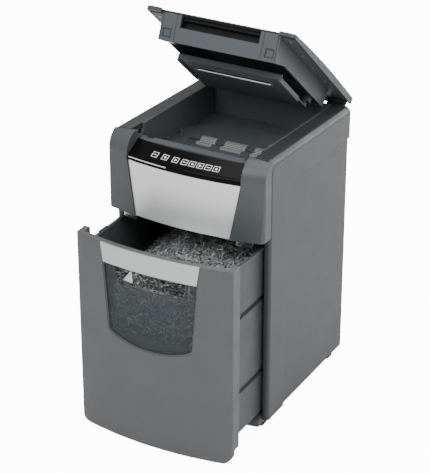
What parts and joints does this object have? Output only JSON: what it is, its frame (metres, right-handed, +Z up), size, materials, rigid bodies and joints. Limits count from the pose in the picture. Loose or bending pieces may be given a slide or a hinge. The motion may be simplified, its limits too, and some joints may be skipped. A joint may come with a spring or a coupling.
{
  "type": "paper shredder",
  "caption": "Office cross-cut paper shredder with a pull-out bin, a hinged lid over an automatic feed tray and a geared two-shaft cutting block.",
  "frame": {"origin": "centre of the bounding box's underside, on the floor, at rest with the drawer part open and the lid raised", "axes": "+Z up, -Y towards the user in front, +X to the user's right"},
  "size_m": [0.36, 0.5716, 0.8505],
  "materials": {
    "body_plastic": "satin",
    "dark_plastic": "satin",
    "silver_plastic": "silver lacquer",
    "black_gloss": "gloss",
    "white_light": "gloss",
    "steel": "bright",
    "cutter_steel": "oiled",
    "gear_plastic": "natural",
    "bearing_bronze": "sintered",
    "copper_rotor": "varnished",
    "black_metal": "powder coat",
    "rubber_black": "matte",
    "roller_rubber": "ribbed",
    "board_green": "satin",
    "smoked_window": "smoked",
    "shred_paper": "shredded"
  },
  "bodies": {
    "cabinet": {"base_plate": "dark_plastic", "feet": "rubber_black", "side_panel_left": "body_plastic", "side_panel_right": "body_plastic", "bay_liners": "dark_plastic", "rear_cover": "body_plastic", "cover_screws": "steel", "deck_plate": "steel", "drawer_rails": "dark_plastic", "catch_plates": "steel", "shoulder_left": "body_plastic", "shoulder_right": "body_plastic", "rail_left": "body_plastic", "rail_right": "body_plastic", "front_panel": "silver_plastic", "control_panel": "black_gloss", "touch_icons": "silver_plastic", "status_light": "white_light", "feed_tray": "dark_plastic", "throat_plate": "dark_plastic", "lid_catches": "dark_plastic", "frame_left": "steel", "frame_right": "steel", "tie_rods": "steel", "cutter_bearings": "bearing_bronze", "stripper_combs": "dark_plastic", "gear_cover": "dark_plastic", "idler_stud": "steel", "motor_can": "black_metal", "circuit_board": "board_green", "board_parts": "black_gloss", "sensors": "black_gloss", "power_inlet": "black_gloss", "feed_belt": "rubber_black", "hinge_brackets": "black_metal", "hinge_pins": "steel"},
    "rear_cutter": {"cutter_rear": "cutter_steel", "drive_gear": "gear_plastic"},
    "front_cutter": {"cutter_front": "cutter_steel"},
    "idler": {"idler_gear": "gear_plastic"},
    "rotor": {"motor_rotor": "copper_rotor", "motor_pinion": "steel"},
    "feed_rear": {"feed_shaft_rear": "steel", "feed_rollers_rear": "roller_rubber"},
    "feed_front": {"feed_shaft_front": "steel", "feed_rollers_front": "roller_rubber"},
    "switch": {"power_switch": "black_gloss"},
    "bin": {"bin_tub": "body_plastic", "fascia": "body_plastic", "handle_band": "silver_plastic", "window_pane": "smoked_window", "shredded_paper": "shred_paper"},
    "lid": {"lid_shell": "body_plastic", "lid_flange": "dark_plastic", "lid_frame": "dark_plastic", "grip_pocket": "black_gloss", "lid_screws": "steel", "lid_brackets": "steel"},
    "press": {"press_plate": "dark_plastic", "press_bar": "steel"}
  },
  "joints": [
    {"name": "drawer_slide", "type": "slide", "parent": "cabinet", "child": "bin", "axis": [0, -1, 0], "range_m": [-0.127, 0.16]},
    {"name": "lid_hinge", "type": "hinge", "parent": "cabinet", "child": "lid", "pos_m": [0, 0.27075, 0.60612], "axis": [-1, 0, 0], "range_deg": [-38.48, 30]},
    {"name": "press_hinge", "type": "hinge", "parent": "lid", "child": "press", "pos_m": [0, 0.16568, 0.64592], "axis": [-1, 0, 0], "range_deg": [0, 6], "stiffness_Nm_per_rad": 6, "springref_deg": -14.32},
    {"name": "rear_cutter_spin", "type": "hinge", "parent": "cabinet", "child": "rear_cutter", "pos_m": [0, 0.08975, 0.488], "axis": [1, 0, 0], "continuous": true},
    {"name": "front_cutter_spin", "type": "hinge", "parent": "cabinet", "child": "front_cutter", "pos_m": [0, 0.05175, 0.488], "axis": [1, 0, 0], "continuous": true},
    {"name": "idler_spin", "type": "hinge", "parent": "cabinet", "child": "idler", "pos_m": [0, 0.13975, 0.488], "axis": [1, 0, 0], "continuous": true},
    {"name": "motor_spin", "type": "hinge", "parent": "cabinet", "child": "rotor", "pos_m": [0, 0.18175, 0.488], "axis": [1, 0, 0], "continuous": true},
    {"name": "feed_rear_spin", "type": "hinge", "parent": "cabinet", "child": "feed_rear", "pos_m": [0, 0.08275, 0.535], "axis": [1, 0, 0], "continuous": true},
    {"name": "feed_front_spin", "type": "hinge", "parent": "cabinet", "child": "feed_front", "pos_m": [0, 0.05825, 0.537], "axis": [1, 0, 0], "continuous": true},
    {"name": "power_rocker", "type": "hinge", "parent": "cabinet", "child": "switch", "pos_m": [0, 0.24975, 0.086], "axis": [1, 0, 0], "range_deg": [0, 24]}
  ],
  "couplings": [
    {"joint": "front_cutter_spin", "follows": "rear_cutter_spin", "ratio": -1},
    {"joint": "idler_spin", "follows": "rear_cutter_spin", "ratio": -2.5714},
    {"joint": "motor_spin", "follows": "rear_cutter_spin", "ratio": 8.2286},
    {"joint": "feed_rear_spin", "follows": "rear_cutter_spin", "ratio": 1.3}
  ]
}
